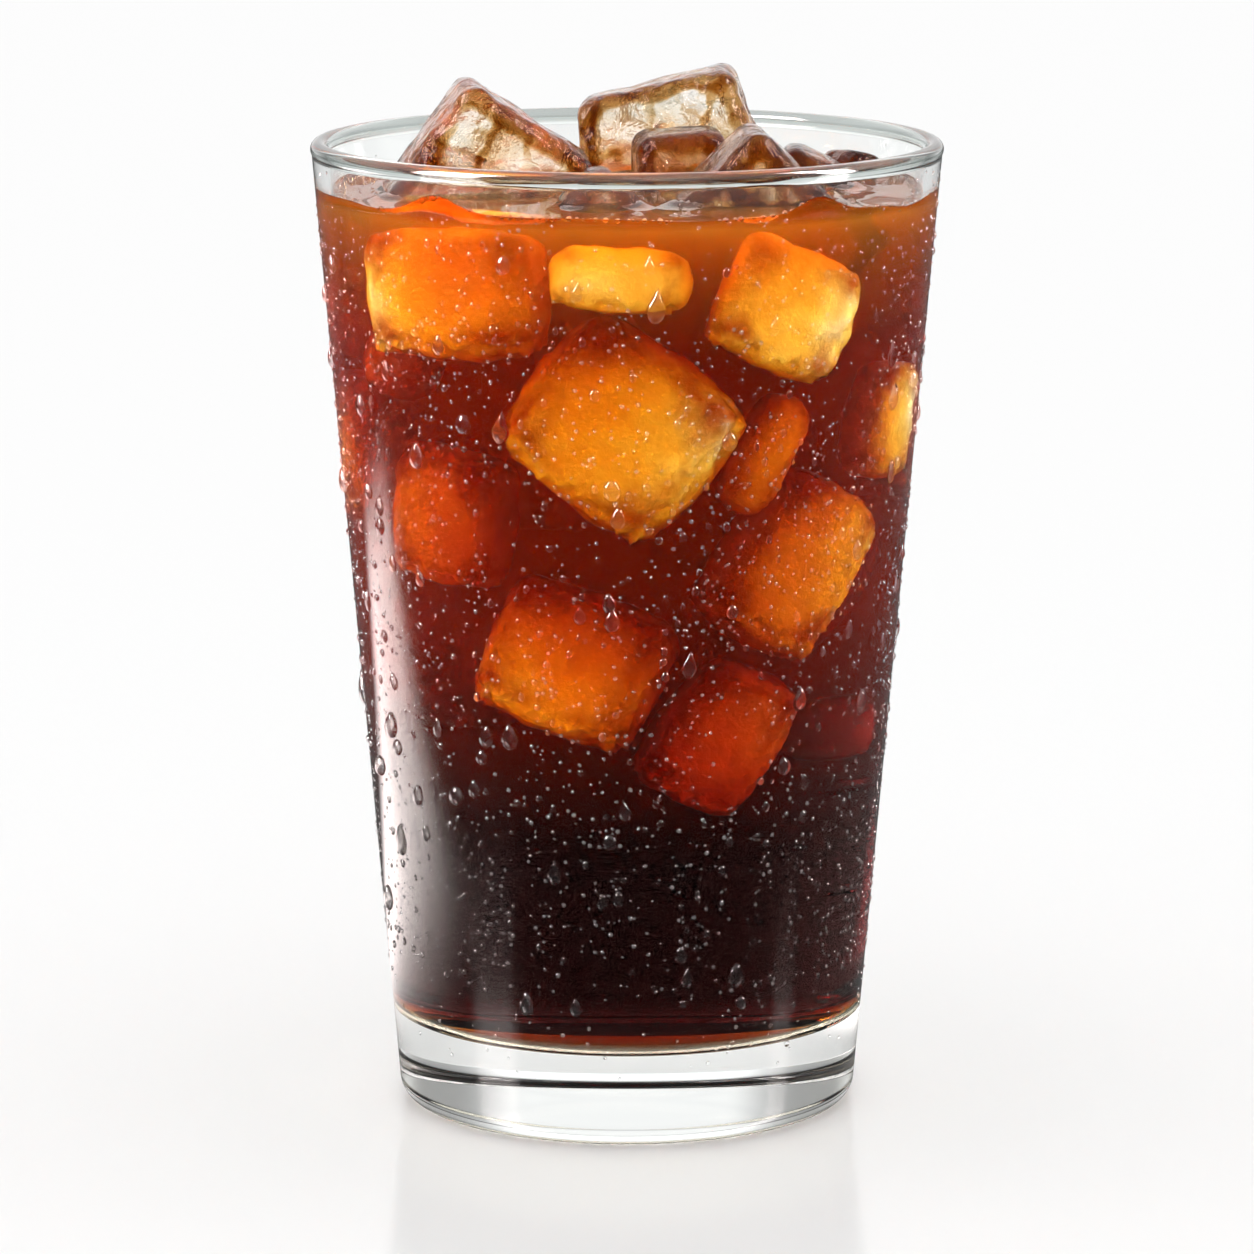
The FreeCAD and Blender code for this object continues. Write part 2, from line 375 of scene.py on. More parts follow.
def makeSunkIce():
    blocks = []
    taken = [emergingIce()]
    dice = random.Random(5)

    def addBlock(name, size, spot, spare=0.2):
        # only where it touches no other block, no wall and not the surface
        bm = blockShape([s + spare for s in size], spot)
        tree = BVHTree.FromBMesh(bm)
        outside = max(math.hypot(v.co.x, v.co.y) / mm - innerWall(v.co.z / mm) for v in bm.verts)
        top = max(v.co.z for v in bm.verts) / mm
        bm.free()
        if top > surfaceLevel - 1.0 or outside > 2.0 or any(tree.overlap(other) for other in taken):
            return False
        taken.append(tree)
        blocks.append((name, 11 + len(blocks), blockShape(size, spot), spot, size))
        return True

    def settle(name, size, x, z, turn, gap, around=0.0, tries=18):
        # one that would touch another lies a little deeper and has melted a little more
        for i in range(tries):
            spot = Matrix.Rotation(math.radians(around), 4, "Z") @ nearWall(size, x, z, turn, gap)
            if addBlock(name, size, spot):
                print(name, "size", [round(s, 1) for s in size], "gap", round(gap, 1))
                return
            gap += 0.25
            size = [s * 0.985 for s in size]

    for name, (size, (x, z), turn, gap) in sunkIce.items():
        settle(name, size, x, z, turn, gap)
    # the same all round the back
    for i, z in enumerate(backRow["heights"]):
        for around in range(backRow["from"] + backRow["shift"] * i, backRow["to"], backRow["every"]):
            size = (dice.uniform(17, 24), dice.uniform(10, 13), dice.uniform(17, 22))
            turn = (dice.uniform(-14, 14), dice.uniform(-42, 42), dice.uniform(-8, 8))
            settle("ring%d" % len(blocks), size, dice.uniform(-2, 2), z + dice.uniform(-3, 3), turn,
                   dice.uniform(0.4, 2.4), around, 6)
    # a second layer that glows red between the first, then whatever fits in the middle
    wanted = [(z, angle, scale, depth) for heights, every, scale, depth in deepRows
              for z in heights for angle in range(0, 360, every)]
    for z, angle, scale, depth in wanted:
        if z < plainPart["below"] and plainPart["from"] < angle < plainPart["to"]:
            continue
        for tries in range(14):
            radius = innerWall(z) - depth + dice.uniform(-1.5, 2)
            turnTo = math.radians(angle + dice.uniform(-10, 10))
            place = (radius * math.cos(turnTo), radius * math.sin(turnTo), z + dice.uniform(-4, 4))
            size = [dice.uniform(15, 22) * scale for _ in range(3)]
            spot = blockSpot(place, [dice.uniform(0, 90) for _ in range(3)])
            if addBlock("deep%d" % len(blocks), size, spot):
                break
    return blocks


crackLook = {"count": 7, "radius": (2.0, 5.0), "thick": 0.16}


def addCracks(bm, centre, size, dice):
    # thin crumpled gaps inside a block, as shells turned inside out
    for i in range(crackLook["count"]):
        radius = dice.uniform(*crackLook["radius"]) * min(size) / 20
        spot = Vector([c + dice.uniform(-0.22, 0.22) * s for c, s in zip(centre, size)]) * mm
        turn = Euler([dice.uniform(0, math.pi) for _ in range(3)]).to_matrix().to_4x4()
        made = bmesh.ops.create_icosphere(bm, subdivisions=3, radius=radius * mm)["verts"]
        bmesh.ops.scale(bm, vec=(1, dice.uniform(0.5, 0.9), crackLook["thick"] / radius), verts=made)
        for vert in made:
            vert.co.z += 0.9 * mm * noise.noise(Vector((vert.co.x, vert.co.y, i * 9 * mm)) / mm / 3)
        bmesh.ops.transform(bm, matrix=Matrix.Translation(spot) @ turn, verts=made)
        faces = {f for v in made for f in v.link_faces}
        bmesh.ops.reverse_faces(bm, faces=list(faces))


def markEdges(bm):
    # an attribute that is high along a block's rounded edges, where the ice is given its painted edge shade
    edge = bm.verts.layers.float.new("edge")
    bm.normal_update()
    for vert in bm.verts:
        bends = [1 - vert.normal.dot(e.other_vert(vert).normal) for e in vert.link_edges]
        vert[edge] = min(1, sum(bends) / max(1, len(bends)) / iceLook["edgeBend"])
    for rounds in range(iceLook["edgeRounds"]):
        spread = [sum(e.other_vert(v)[edge] for e in v.link_edges) / max(1, len(v.link_edges))
                  for v in bm.verts]
        for vert, value in zip(bm.verts, spread):
            vert[edge] = (vert[edge] + value * 2) / 3


def joinInto(target, source):
    mesh = bpy.data.meshes.new("part")
    source.to_mesh(mesh)
    source.free()
    target.from_mesh(mesh)
    bpy.data.meshes.remove(mesh)


def makeIce(material, cloudy):
    # every block as its own shape; returns the slightly smaller hollows that they fill
    hollows = {}
    dice = random.Random(77)
    for seed, node in enumerate(sorted(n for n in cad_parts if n.startswith("ice_"))):
        bm = evenMesh(copyNodes([node]), iceLook["voxel"])
        meltSurface(bm, seed)
        hollows[node] = shrunkCopy(bm, iceLook["sunkInto"])
        low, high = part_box(node)
        centre, size = (Vector(low) + Vector(high)) / 2 / mm, (Vector(high) - Vector(low)) * 0.7 / mm
        markEdges(bm)
        addCracks(bm, centre, size, dice)
        newPiece("block_" + node[4:], bm, material, [node])
    groups = {"sunk_ice": bmesh.new(), "deep_ice": bmesh.new()}
    for bm in groups.values():
        bm.verts.layers.float.new("milky")
    inner = bmesh.new()
    for name, seed, rough, spot, size in makeSunkIce():
        near = not name.startswith("deep")
        bm = evenMesh(rough, sunkLook["voxel" if near else "deepVoxel"])
        meltSurface(bm, seed)
        wearBlock(bm, spot, size)
        joinInto(inner, shrunkCopy(bm, iceLook["sunkInto"]))
        joinInto(groups["sunk_ice" if near else "deep_ice"], bm)
    for name, bm in groups.items():
        newPiece(name, bm, cloudy)
    return hollows, inner


coffeeShape = {
    "turns": 224, "ring": 0.8, "wallStep": 2.6,
    # where ice close to the wall draws the surface up it: angle from the front, rise, width along the wall
    "climbs": [(-37.5, 2.3, 4.6), (37.5, 2.1, 4.0), (-52, -0.4, 5.0), (64, -0.8, 6.0), (14, -0.4, 9.0)],
    "climbReach": 3.5,
    "iceRise": 1.1, "iceReach": 1.3,
}


def surfaceHeight(x, y, iceTree):
    # millimetres; the level, the climb at the wall and beside ice, and faint ripples
    radius = math.hypot(x, y)
    angle = math.degrees(math.atan2(x, -y))
    gap = max(0.0, innerWall(surfaceLevel) - radius)
    height = meniscus["rise"] * math.exp(-((gap / meniscus["reach"]) ** 1.3) * 2.2)
    for where, rise, width in coffeeShape["climbs"]:
        along = math.radians(angle - where) * radius
        height += rise * math.exp(-(along / width) ** 2 - gap / coffeeShape["climbReach"])
    near = iceTree.find_nearest(Vector((x, y, surfaceLevel)) * mm, 6 * mm)
    if near[0] is not None:
        height += coffeeShape["iceRise"] * math.exp(-near[3] / mm / coffeeShape["iceReach"])
    height += 0.12 * noise.noise(Vector((x, y, 3)) / 7)
    return surfaceLevel + height


def makeCoffee(material, hollows, inner):
    c, t = coffeeShape, tumbler
    into = meniscus["intoWall"]
    bottom = t["floor"] - into
    points = [(0, bottom), (8, bottom), (16, bottom)]
    points += roundCorner((0, bottom), (innerWall(bottom) + into, bottom), (innerWall(30) + into, 30),
                          t["floorRound"], 14)
    rows = int((surfaceLevel - 19) / c["wallStep"])
    heights = [19 + (surfaceLevel - 0.5 - 19) * i / rows for i in range(rows + 1)]
    points += [(innerWall(z) + into, z) for z in heights]
    rim = innerWall(surfaceLevel + meniscus["rise"]) + into
    rings = int(rim / c["ring"])
    points += [(rim * (1 - i / rings) ** 0.97, surfaceLevel + 1) for i in range(rings + 1)]
    bm = spinOutline(points, c["turns"])
    iceTree = emergingIce()
    for vert in bm.verts:
        if vert.co.z > (surfaceLevel + 0.9) * mm:
            x, y = vert.co.x / mm, vert.co.y / mm
            z = surfaceHeight(x, y, iceTree)
            if math.hypot(x, y) > rim - 0.01:  # the edge stays just inside the wall as it climbs
                grow = (innerWall(z) + into) / math.hypot(x, y)
                vert.co.x, vert.co.y = vert.co.x * grow, vert.co.y * grow
            vert.co.z = z * mm
    bmesh.ops.recalc_face_normals(bm, faces=bm.faces)
    mesh = bpy.data.meshes.new("coffeeBody")
    bm.to_mesh(mesh)
    bm.free()
    body = bpy.data.objects.new("coffeeBody", mesh)
    scene.collection.objects.link(body)
    cutters = []
    for name, hollow in hollows.items():
        cutMesh = bpy.data.meshes.new(name)
        hollow.to_mesh(cutMesh)
        hollow.free()
        cutter = bpy.data.objects.new(name + "_cutter", cutMesh)
        scene.collection.objects.link(cutter)
        cut = body.modifiers.new(name, "BOOLEAN")
        cut.operation = "DIFFERENCE"
        cut.object = cutter
        cut.solver = "EXACT"
        cutters.append(cutter)
    carved = bpy.data.meshes.new_from_object(body.evaluated_get(bpy.context.evaluated_depsgraph_get()))
    for spare in cutters + [body]:
        bpy.data.objects.remove(spare)
    bm = bmesh.new()
    bm.from_mesh(carved)
    # hollows for the blocks under the surface, turned inside out
    bmesh.ops.reverse_faces(inner, faces=inner.faces)
    shells = bpy.data.meshes.new("shells")
    inner.to_mesh(shells)
    inner.free()
    bm.from_mesh(shells)
    bmesh.ops.triangulate(bm, faces=[f for f in bm.faces if len(f.verts) > 4])
    return newPiece("coffee_drink", bm, material, ["coffee"])


dew = {  # millimetres
    "mist": {"count": 8200, "size": (0.16, 0.34), "from": 10, "to": 133},
    "beads": {"count": 1700, "size": (0.3, 0.62), "from": 12, "to": 130},
    "drops": {"count": 130, "size": (0.8, 1.35), "from": 15, "to": 124},
}
# The share of drops left out near the drink's level, over the clear base and in patches.
dry = {"top": 3, "topShare": 0.7, "base": 22, "baseShare": 0.75, "patch": -0.25, "patchShare": 0.6}
# Tracks where a drop ran down and cleared the mist: angle from the front, top, bottom, width.
runs = [(-25.5, 92, 58, 1.6), (-24.0, 46, 20, 1.5), (-12.0, 46, 20, 1.2), (26.0, 60, 24, 1.6),
        (-35, 72, 50, 1.2), (60, 95, 60, 1.6), (100, 88, 40, 1.8), (140, 100, 52, 1.6), (175, 80, 30, 1.8),
        (-150, 96, 50, 1.6), (-115, 84, 36, 1.7), (-75, 70, 30, 1.6)]


def domeMesh(name, segments, rings, long=1.0, heavy=0.0):
    # a drop of radius 1, open where it wets the wall; long stretches it, heavy swells its lower end
    bm = bmesh.new()
    bmesh.ops.create_uvsphere(bm, u_segments=segments, v_segments=rings, radius=1)
    bmesh.ops.bisect_plane(bm, geom=bm.verts[:] + bm.edges[:] + bm.faces[:], plane_co=(0, 0, 0.0),
                           plane_no=(0, 0, 1), clear_inner=True)
    for vert in bm.verts:
        vert.co.y *= long * (1 + (0.35 * heavy if vert.co.y > 0 else 0))
        vert.co.x *= 1 - heavy * 0.28 * max(0, vert.co.y)
    bmesh.ops.recalc_face_normals(bm, faces=bm.faces)
    mesh = bpy.data.meshes.new(name)
    bm.to_mesh(mesh)
    bm.free()
    return mesh


def onWall(angle, z, size, proud, twist=0.0):
    # the matrix that sets a dome of radius 1 on the outside of the tumbler, its Y axis up the wall
    side = math.radians(angle)
    lean = math.atan2(outerWall(100) - outerWall(0), 100)
    spot = Vector((outerWall(z) * math.sin(side), -outerWall(z) * math.cos(side), z)) * mm
    face = Euler((math.pi / 2 + lean, 0, side), "XYZ").to_matrix().to_4x4()
    scale = Matrix.Diagonal((size * mm, size * mm, size * proud * mm, 1))
    sink = Matrix.Translation((0, 0, -0.03 * mm))
    return Matrix.Translation(spot) @ face @ Matrix.Rotation(twist, 4, "Z") @ sink @ scale


def inRun(angle, z, spare):
    for where, top, bottom, width in runs:
        if bottom < z < top and abs(math.radians(angle - where)) * outerWall(z) < width / 2 + spare:
            return True
    return False


def makeDew(material, fine):
    dice = random.Random(21)
    shapes = {"mist": [domeMesh("m", 6, 4)],
              "beads": [domeMesh("b", 10, 8), domeMesh("b", 10, 8, 1.2, 0.5)],
              "drops": [domeMesh("d", 20, 16, 1.25, 0.9), domeMesh("d", 20, 16, 1.1, 0.4),
                        domeMesh("d", 20, 16, 1.5, 1.2)]}
    grid = {}

    def room(angle, z, size):
        # true where no other drop is nearer than both their sizes
        x, cell = math.radians(angle) * outerWall(z), (int(math.radians(angle) * 38 / 3), int(z / 3))
        for i in (-1, 0, 1):
            for j in (-1, 0, 1):
                for ox, oz, other in grid.get((cell[0] + i, cell[1] + j), ()):
                    if (x - ox) ** 2 + (z - oz) ** 2 < (1.12 * (size + other)) ** 2:
                        return False
        grid.setdefault(cell, []).append((x, z, size))
        return True

    placed = {"drops": [], "beads": [], "mist": []}
    for where, top, bottom, width in runs:
        size = width * 0.8  # the drop that made the track still hangs at its lower end
        room(where, bottom, size)
        placed["drops"].append((shapes["drops"][0], onWall(where, bottom, size, 0.6)))
    for kind in ("drops", "beads", "mist"):
        spec = dew[kind]
        for i in range(spec["count"]):
            angle, z = dice.uniform(-180, 180), dice.uniform(spec["from"], spec["to"])
            low, high = spec["size"]
            size = low + (high - low) * dice.random() ** 1.8
            patch = noise.noise(Vector((angle / 14, z / 16, 4)))
            if z > surfaceLevel - dry["top"] and dice.random() < dry["topShare"]:
                continue
            if z < dry["base"] and dice.random() < dry["baseShare"]:
                continue
            if kind != "drops" and patch < dry["patch"] and dice.random() < dry["patchShare"]:
                continue
            if inRun(angle, z, size) or not room(angle, z, size):
                continue
            shape = dice.choice(shapes[kind])
            proud = dice.uniform(0.5, 0.68)
            placed[kind].append((shape, onWall(angle, z, size, proud, dice.uniform(-0.15, 0.15))))
    for kind, drops in placed.items():
        scatter("dew_" + kind, drops, fine if kind == "mist" else material)


# Rafts round the wall, bubbles in each, their radius, and how many more lie beside the ice.
foam = {"rafts": 30, "perRaft": (4, 18), "size": (0.2, 0.5), "besideIce": 260}


def makeFoam(material, iceTree):
    dice = random.Random(9)
    bm = bmesh.new()
    bmesh.ops.create_icosphere(bm, subdivisions=2, radius=1)
    ball = bpy.data.meshes.new("ball")
    bm.to_mesh(ball)
    bm.free()
    placed, taken = [], []

    def addBubble(x, y, size):
        if any((x - ox) ** 2 + (y - oy) ** 2 < (size + other) ** 2 for ox, oy, other in taken):
            return
        near = iceTree.find_nearest(Vector((x, y, surfaceLevel)) * mm, 6 * mm)
        if near[0] is not None and near[3] < (size + 0.5) * mm:
            return
        taken.append((x, y, size))
        z = surfaceHeight(x, y, iceTree) + size * 0.35
        placed.append((ball, Matrix.Translation(Vector((x, y, z)) * mm) @ Matrix.Scale(size * mm, 4)))

    for raft in range(foam["rafts"]):
        angle = math.radians(raft * 360 / foam["rafts"] + dice.uniform(-6, 6))
        for i in range(dice.randint(*foam["perRaft"])):
            size = dice.uniform(*foam["size"])
            radius = innerWall(surfaceLevel) - size - 0.1 - dice.random() ** 2 * 0.9
            angle += (size + 0.1) * dice.uniform(1.0, 1.7) / radius
            addBubble(radius * math.sin(angle), -radius * math.cos(angle), size)
    for i in range(foam["besideIce"] * 6):
        angle, radius = dice.uniform(0, 2 * math.pi), dice.uniform(4, 38)
        x, y = radius * math.sin(angle), -radius * math.cos(angle)
        near = iceTree.find_nearest(Vector((x, y, surfaceLevel)) * mm, 1.6 * mm)
        if near[0] is not None and near[3] > 0.6 * mm:
            addBubble(x, y, dice.uniform(0.14, 0.32))
    return scatter("foam", placed, material)


def glassMaterial():
    # Soda-lime glass, pressed: clear and hard, its outside blurred by a breath of mist below the drink's
    # level.
    material, tree = newMaterial("soda-lime glass, misted")
    place, height = whereOn(tree)
    lower = fade(tree, height, 12 * mm, 24 * mm, smooth=True)
    upper = fade(tree, height, 134 * mm, 128 * mm, smooth=True)
    # the outer face only: its radius is compared with the wall's middle at that height
    across = addNode(tree, "ShaderNodeVectorMath", {1: (1, 1, 0)}, {0: place}, operation="MULTIPLY")
    radius = addNode(tree, "ShaderNodeVectorMath", links={0: across.outputs["Vector"]}, operation="LENGTH")
    middle = fade(tree, height, 0.0, neckZ * mm, (outerWall(0) - 1.4) * mm, (outerWall(neckZ) - 1.0) * mm)
    outside = combine(tree, "GREATER_THAN", radius.outputs["Value"], middle)
    amount = fade(tree, grain(tree, place, 24, 2.0)["Fac"], 0.35, 0.7, 0.02, 0.07)
    specks = fade(tree, grain(tree, place, 2.2, 3.0, 0.6)["Fac"], 0.3, 0.7, 0.5, 1.3)
    for factor in (specks, lower, upper, outside):
        amount = combine(tree, "MULTIPLY", amount, factor)
    # where the drink wets the inner face, hardly anything is mirrored
    wet = combine(tree, "LESS_THAN", height, surfaceLevel * mm)
    wetInside = combine(tree, "SUBTRACT", wet, outside)
    # and little where drops sit on the outer face, because water on glass mirrors far less than air on glass
    misted = combine(tree, "MULTIPLY", lower, upper)
    gloss = choose(tree, wetInside, fade(tree, misted, 0.0, 1.0, 1.0, 0.22), 0.05)
    # the rounded rim is tinted grey, painted shade for the dark outline that thick glass shows on edge
    rim = fade(tree, height, (neckZ - 0.6) * mm, (neckZ + 0.4) * mm)
    shader = addNode(tree, "ShaderNodeBsdfPrincipled", {"Transmission Weight": 1.0, "IOR": 1.5},
                     {"Base Color": blend(tree, rim, "#fbfdfc", "#b9c0bd"), "Roughness": amount,
                      "Specular Tint": gloss})
    addNode(tree, "ShaderNodeOutputMaterial", links={"Surface": shader.outputs["BSDF"]})
    return material


def coffeeMaterial():
    # Black coffee, filtered: its colour comes from the depth that light goes through, amber where thin,
    # red-brown deeper, black through the whole glass. Meltwater clouds and lightens it towards the top.
    material, tree = newMaterial("filtered black coffee")
    place, height = whereOn(tree)
    ripple = grain(tree, place, 4, 1.0)["Fac"]
    shader = addNode(tree, "ShaderNodeBsdfPrincipled",
                     {"Base Color": (1, 1, 1, 1), "Transmission Weight": 1.0, "IOR": 1.34, "Roughness": 0.0,
                      "Specular Tint": (0.03, 0.03, 0.03, 1)}, {"Normal": relief(tree, ripple, 0.03, 0.2)})
    tint = addNode(tree, "ShaderNodeVolumeAbsorption", {"Color": (0.905, 0.69, 0.0, 1), "Density": 820.0})
    stirred = fade(tree, height, 38 * mm, 88 * mm, high=52.0, smooth=True)
    melted = fade(tree, height, 108 * mm, 129 * mm, smooth=True)
    cloudy = combine(tree, "MULTIPLY_ADD", melted, 6.0, stirred)
    # the thin edge that climbs the wall stays clear, and shows as a dark line
    below = fade(tree, height, (surfaceLevel - 0.1) * mm, (surfaceLevel - 0.9) * mm)
    grounds = addNode(tree, "ShaderNodeVolumeScatter", {"Anisotropy": 0.0},
                      {"Density": combine(tree, "MULTIPLY", cloudy, below),
                       "Color": blend(tree, melted, "#dc541c", "#e7cb7c")})
    body = addNode(tree, "ShaderNodeAddShader",
                   links={0: tint.outputs["Volume"], 1: grounds.outputs["Volume"]})
    addNode(tree, "ShaderNodeOutputMaterial",
            links={"Surface": shader.outputs["BSDF"], "Volume": body.outputs["Shader"]})
    return material


def iceMaterial():
    # Tray ice, half melted: a wet chipped skin, frosted in patches, coffee in its cracks, and painted shade
    # along its edges.
    material, tree = newMaterial("wet tray ice")
    place, height = whereOn(tree)
    dimples = grain(tree, place, 2.6, 4.0, 0.55)
    warp = addNode(tree, "ShaderNodeVectorMath", {1: (3 * mm, 3 * mm, 3 * mm)},
                   {0: dimples["Color"], 2: place}, operation="MULTIPLY_ADD").outputs["Vector"]
    chips = addNode(tree, "ShaderNodeTexVoronoi", {"Scale": 1 / (4.5 * mm)}, {"Vector": warp})
    chipped = combine(tree, "MULTIPLY_ADD", chips.outputs["Distance"], 1.0, dimples["Fac"])
    # amber towards the foot, in patches
    foot = fade(tree, height, (surfaceLevel + 15) * mm, (surfaceLevel + 2) * mm, smooth=True)
    patches = grain(tree, place, 7, 2.0)["Fac"]
    patch = fade(tree, patches, 0.38, 0.6)
    stain = combine(tree, "MULTIPLY", foot, patch)
    # brown lines where coffee crept along the cracks
    cracks = addNode(tree, "ShaderNodeTexVoronoi", {"Scale": 1 / (8 * mm)}, {"Vector": warp},
                     feature="DISTANCE_TO_EDGE")
    line = fade(tree, cracks.outputs["Distance"], 0.10, 0.02, high=0.9, smooth=True)
    lines = combine(tree, "MULTIPLY", line, patch)
    # and painted shade along its edges: a brown tint where the surface bends, in patches
    edge = addNode(tree, "ShaderNodeAttribute", attribute_name="edge").outputs["Fac"]
    paintedEdgeShade = fade(tree, combine(tree, "MULTIPLY", edge, patches), 0.21, 0.36, high=0.9)
    # darker with depth as coffee is, pale amber where thin, brown where thick, for the stains and the painted
    # edge shade alike
    depth = combine(tree, "ADD", combine(tree, "MULTIPLY_ADD", stain, 0.16, lines), paintedEdgeShade)
    colour = addNode(tree, "ShaderNodeGamma", {"Color": toLinear("#7f4410")}, {"Gamma": depth})
    frost = grain(tree, place, 5, 4.0, 0.65)["Fac"]
    # wet by the drink it mirrors hardly anything, and little where the painted edge shade lies
    gloss = fade(tree, height, (surfaceLevel - 0.5) * mm, surfaceLevel * mm, 0.04, 0.6)
    gloss = combine(tree, "MULTIPLY", gloss, fade(tree, paintedEdgeShade, 0.0, 1.0, 1.0, 0.3))
    shader = addNode(tree, "ShaderNodeBsdfPrincipled", {"IOR": 1.31},
                     {"Base Color": colour.outputs["Color"], "Normal": relief(tree, chipped, 0.8, 0.9),
                      "Transmission Weight": fade(tree, frost, 0.40, 0.60, 0.98, 0.84),
                      "Roughness": fade(tree, frost, 0.45, 0.65, 0.025, 0.05), "Specular Tint": gloss})
    addNode(tree, "ShaderNodeOutputMaterial", links={"Surface": shader.outputs["BSDF"]})
    return material


def cloudyIceMaterial():
    # Tray ice, long sunk: milky with trapped air, so that it glows with the light that reaches it.
    material, tree = newMaterial("cloudy tray ice")
    place, height = whereOn(tree)
    # milky in the middle of each face, clear towards the edges
    core = addNode(tree, "ShaderNodeAttribute", attribute_name="milky").outputs["Fac"]
    drift = combine(tree, "SUBTRACT", grain(tree, place, 7, 3.0, 0.6)["Fac"], 0.5)
    frost = combine(tree, "MULTIPLY_ADD", grain(tree, place, 0.6, 2.0)["Fac"], 0.9, drift)
    clear = fade(tree, combine(tree, "ADD", frost, core), 0.3, 1.2, 0.35, 0.04)
    # painted shade: red-brown towards each block's edges, white in the middle of its faces, drifting at
    # random
    driftAndPaintedShade = combine(tree, "MULTIPLY_ADD", drift, 0.8, core)
    colour = blend(tree, fade(tree, driftAndPaintedShade, -0.1, 0.9, smooth=True), "#a8481c", "#fbfbfa")
    dimples = grain(tree, place, 1.4, 5.0, 0.6)["Fac"]
    shader = addNode(tree, "ShaderNodeBsdfPrincipled",
                     {"IOR": 1.31, "Roughness": 0.12, "Specular Tint": (0.05, 0.05, 0.05, 1)},
                     {"Base Color": colour, "Normal": relief(tree, dimples, 0.6, 0.5),
                      "Transmission Weight": clear})
    addNode(tree, "ShaderNodeOutputMaterial", links={"Surface": shader.outputs["BSDF"]})
    return material


def waterMaterial(name, clear, rough):
    # Condensed water: clear beads with a bright glint, the finest ones whitish as mist is.
    material, tree = newMaterial(name)
    place, height = whereOn(tree)
    wobble = grain(tree, place, 1.2, 1.0)["Fac"]
    shader = addNode(tree, "ShaderNodeBsdfPrincipled",
                     {"Base Color": (1, 1, 1, 1), "Transmission Weight": clear, "IOR": 1.33,
                      "Roughness": rough, "Specular Tint": (1.6, 1.6, 1.6, 1)},
                     {"Normal": relief(tree, wobble, 0.15, 0.1)})
    addNode(tree, "ShaderNodeOutputMaterial", links={"Surface": shader.outputs["BSDF"]})
    return material


glass, coffee, ice = glassMaterial(), coffeeMaterial(), iceMaterial()
water, mist = waterMaterial("condensed water", 1.0, 0.05), waterMaterial("condensed mist", 0.9, 0.1)
newPiece("tumbler", spinOutline(tumblerOutline(), tumbler["turns"]), glass, ["glass"])
hollows, inner = makeIce(ice, cloudyIceMaterial())
makeCoffee(coffee, hollows, inner)
makeFoam(water, emergingIce())
makeDew(water, mist)

studio = {
    "direct": 1.06, "through": 1.3, "corner": 0.45, "ceiling": 0.10, "glow": 8.0, "haze": 7.0, "turned": 0.8,
    "mirrored": 0.12, "overhead": 1.2, "floorGloss": 0.10,
    # a low card that bounces light up the left side, and high strips that put a glint in every drop:
    # place, aim, size, watts, turn
    "lamps": {"low card": ((-200, 105, 2), (-200, 105, 100), (380, 180), 0.8, 35),
              "left strip": ((-380, -160, 320), (0, 0, 90), (260, 420), 14.0, 0),
              "right strip": ((340, -60, 300), (0, 0, 90), (120, 420), 6.0, 0)},
    "lampTint": "#fff4f2", "floorSize": 4,
    "cameraAt": (0, -880, 231), "pitch": 0.184, "lens": 182.3,  # millimetres and radians
}


def mirrorRay(tree, rays):
    # 1 for a ray that was mirrored, 0 for all others
    return combine(tree, "MULTIPLY", rays["Is Glossy Ray"], rays["Is Reflection Ray"])


def makeFloor():
    material, tree = newMaterial("white acrylic sheet")
    coords = addNode(tree, "ShaderNodeTexCoord")
    cloud = addNode(tree, "ShaderNodeTexNoise", {"Scale": 60.0, "Detail": 2.0},
                    {"Vector": coords.outputs["Object"]})
    rays = addNode(tree, "ShaderNodeLightPath").outputs
    # what the glass mirrors of the floor is dimmed
    white = blend(tree, mirrorRay(tree, rays), "#f5f5f5", "#303030")
    matt = addNode(tree, "ShaderNodeBsdfDiffuse", links={"Color": white})
    sheen = addNode(tree, "ShaderNodeBsdfGlossy", {"Color": (1, 1, 1, 1)},
                    {"Roughness": fade(tree, cloud.outputs["Fac"], 0.0, 1.0, 0.10, 0.14)})
    both = addNode(tree, "ShaderNodeMixShader", {"Fac": studio["floorGloss"]},
                   {1: matt.outputs["BSDF"], 2: sheen.outputs["BSDF"]})
    addNode(tree, "ShaderNodeOutputMaterial", links={"Surface": both.outputs["Shader"]})
    bm = bmesh.new()
    bmesh.ops.create_grid(bm, x_segments=8, y_segments=8, size=studio["floorSize"])
    mesh = bpy.data.meshes.new("studio_floor")
    bm.to_mesh(mesh)
    bm.free()
    mesh.materials.append(material)
    floor = bpy.data.objects.new("studio_floor", mesh)
    scene.collection.objects.link(floor)


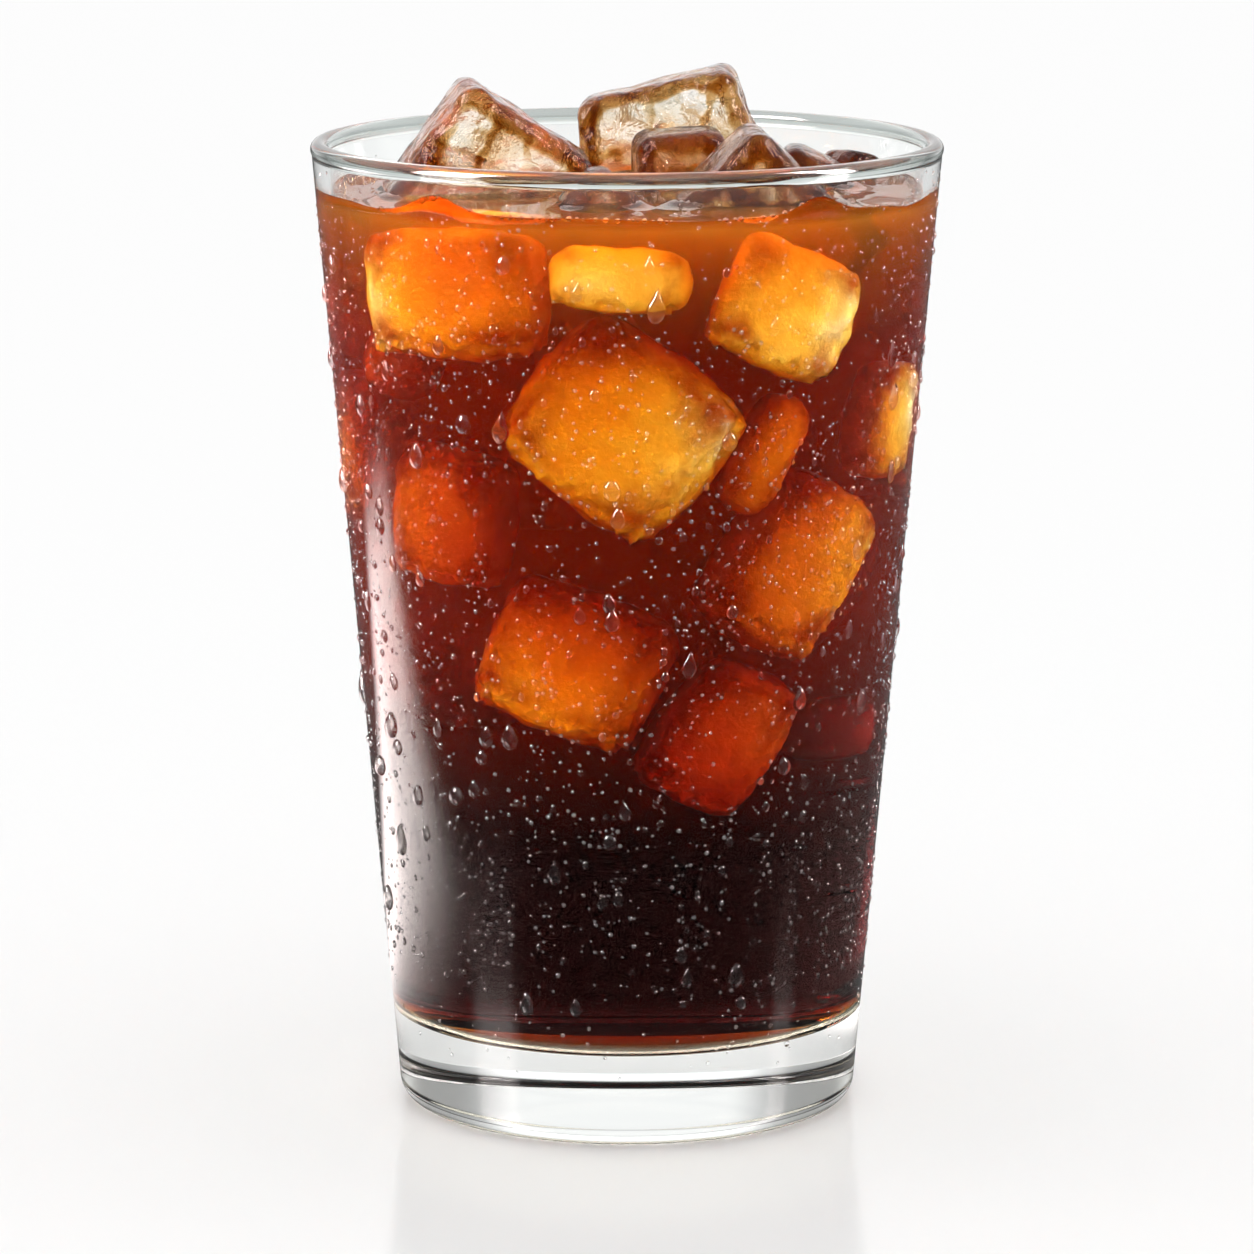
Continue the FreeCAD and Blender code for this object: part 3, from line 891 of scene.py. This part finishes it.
def makeRoom():
    # a bright cove to look through, and black cloth around the lamps so that the glass mirrors little of it
    scene.world = bpy.data.worlds.new("soft white studio")
    scene.world.use_nodes = True
    tree = scene.world.node_tree
    tree.nodes.clear()
    rays = addNode(tree, "ShaderNodeLightPath").outputs
    toward = addNode(tree, "ShaderNodeTexCoord").outputs["Generated"]
    # four bright panels with darker corners between them, and a dim ceiling
    flat = addNode(tree, "ShaderNodeVectorMath", {1: (1, 1, 0)}, {0: toward}, operation="MULTIPLY")
    flat = addNode(tree, "ShaderNodeVectorMath", links={0: flat.outputs["Vector"]}, operation="NORMALIZE")
    flat = addNode(tree, "ShaderNodeSeparateXYZ", links={"Vector": flat.outputs["Vector"]}).outputs
    corner = combine(tree, "ABSOLUTE", combine(tree, "MULTIPLY", flat["X"], flat["Y"]))
    panels = fade(tree, corner, 0.28, 0.5, studio["through"], studio["corner"], smooth=True)
    aim = addNode(tree, "ShaderNodeSeparateXYZ", links={"Vector": toward}).outputs
    ceiling = fade(tree, aim["Z"], 0.22, 0.6, 1.0, studio["ceiling"], smooth=True)
    # a ray turned back inside the glass or the ice sees the dark side of the room more than the cove
    turned = combine(tree, "GREATER_THAN", rays["Glossy Depth"], 0.5)
    seen = combine(tree, "MULTIPLY", combine(tree, "MULTIPLY", panels, ceiling),
                   fade(tree, turned, 0.0, 1.0, 1.0, studio["turned"]))
    # light spread by something milky inside the glass is worth more than what is looked at through it
    bounced = combine(tree, "GREATER_THAN", rays["Diffuse Depth"], 0.5)
    # what is left of the depth after the bounces at surfaces is the light that the coffee itself has spread
    left = rays["Ray Depth"]
    for kind in ("Diffuse Depth", "Glossy Depth", "Transmission Depth"):
        left = combine(tree, "SUBTRACT", left, rays[kind])
    spread = combine(tree, "GREATER_THAN", left, 1.5)
    inside = choose(tree, spread, choose(tree, bounced, seen, studio["glow"]), studio["haze"])
    through = choose(tree, rays["Is Transmission Ray"], studio["direct"], inside)
    # behind the drink the cove is bright, the camera's side of the room is dark
    side = fade(tree, aim["Y"], 0.7, 0.95, studio["mirrored"], studio["direct"], smooth=True)
    # and a softbox overhead puts the light edge on every drop
    above = fade(tree, aim["Z"], 0.12, 0.5, high=studio["overhead"], smooth=True)
    strength = choose(tree, mirrorRay(tree, rays), through, combine(tree, "ADD", side, above))
    sky = addNode(tree, "ShaderNodeBackground", {"Color": (1, 1, 1, 1)}, {"Strength": strength})
    addNode(tree, "ShaderNodeOutputWorld", links={"Surface": sky.outputs["Background"]})


def makeLamps():
    for name, (where, aim, size, power, turn) in studio["lamps"].items():
        light = bpy.data.lights.new(name, "AREA")
        light.shape = "RECTANGLE"
        light.size, light.size_y = (s * mm for s in size)
        light.energy = power
        light.color = toLinear(studio["lampTint"])[:3]
        # each fades out towards its edges, as a softbox does
        light.use_nodes = True
        tree = light.node_tree
        shine = next(n for n in tree.nodes if n.type == "EMISSION")
        spot = addNode(tree, "ShaderNodeNewGeometry").outputs["Parametric"]
        across = addNode(tree, "ShaderNodeSeparateXYZ", links={"Vector": spot}).outputs
        edges = [fade(tree, combine(tree, "ABSOLUTE", combine(tree, "SUBTRACT", across[axis], 0.5)),
                      0.5, 0.2, high=1.4, smooth=True) for axis in "XY"]
        tree.links.new(combine(tree, "MULTIPLY", *edges), shine.inputs["Strength"])
        lamp = bpy.data.objects.new(name, light)
        scene.collection.objects.link(lamp)
        lamp.location = Vector(where) * mm
        lamp.rotation_euler = ((Vector(aim) - Vector(where)) * mm).to_track_quat("-Z", "Y").to_euler()
        lamp.rotation_euler.rotate_axis("Z", math.radians(turn))
        lamp.visible_camera = lamp.visible_diffuse = lamp.visible_volume_scatter = False


def makeCamera():
    camera = bpy.data.cameras.new("camera")
    camera.lens, camera.sensor_width = studio["lens"], 36
    eye = bpy.data.objects.new("camera", camera)
    scene.collection.objects.link(eye)
    eye.location = Vector(studio["cameraAt"]) * mm
    eye.rotation_euler = (math.pi / 2 - studio["pitch"], 0, 0)
    scene.camera = eye


makeFloor()
makeRoom()
makeLamps()
makeCamera()
print("studio ready")
scene.view_settings.view_transform = "Standard"
cycles = scene.cycles
cycles.max_bounces = cycles.transmission_bounces = 16
cycles.glossy_bounces = 6
cycles.transparent_max_bounces = 16
cycles.volume_bounces = 2
